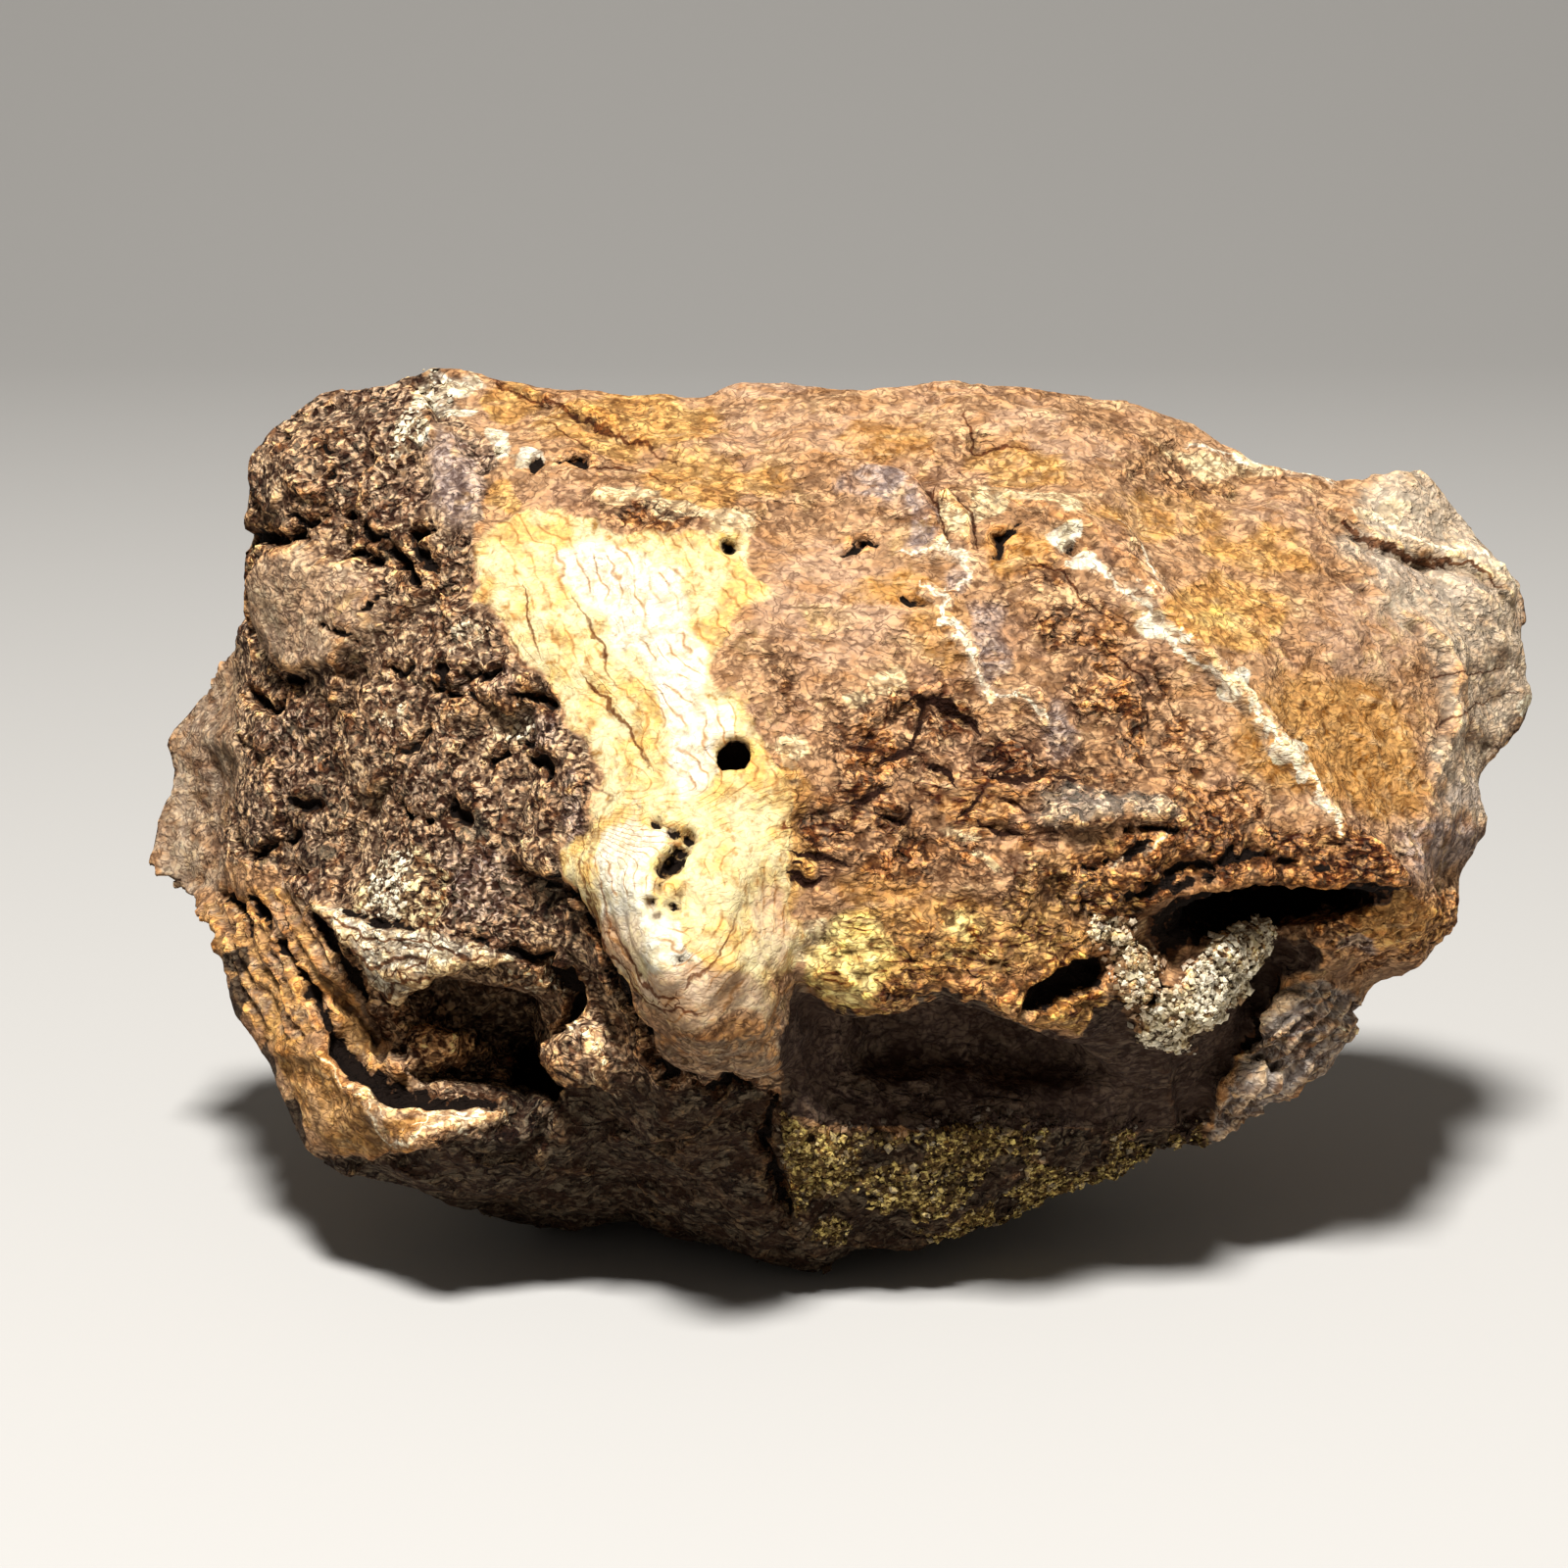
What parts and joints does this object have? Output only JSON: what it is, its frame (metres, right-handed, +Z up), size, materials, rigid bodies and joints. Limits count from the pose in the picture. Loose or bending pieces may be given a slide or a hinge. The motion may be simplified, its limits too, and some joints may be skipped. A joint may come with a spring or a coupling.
{
  "type": "pyrite specimen",
  "caption": "Rugged lump of iron-stained pyrite ore with a pale vein, overhung ledges and a brassy underside, resting on its own flat foot.",
  "frame": {"origin": "middle of the bounding box on the resting plane", "axes": "+X along the length of the lump, -Y out of the broad face with the pale vein, +Z up"},
  "size_m": [0.105, 0.0656, 0.0637],
  "materials": {
    "weathered_ore": "rough iron-stained ore with a cream vein and dull brassy grains"
  },
  "bodies": {
    "root": {"pyrite_specimen": "weathered_ore"}
  },
  "joints": []
}
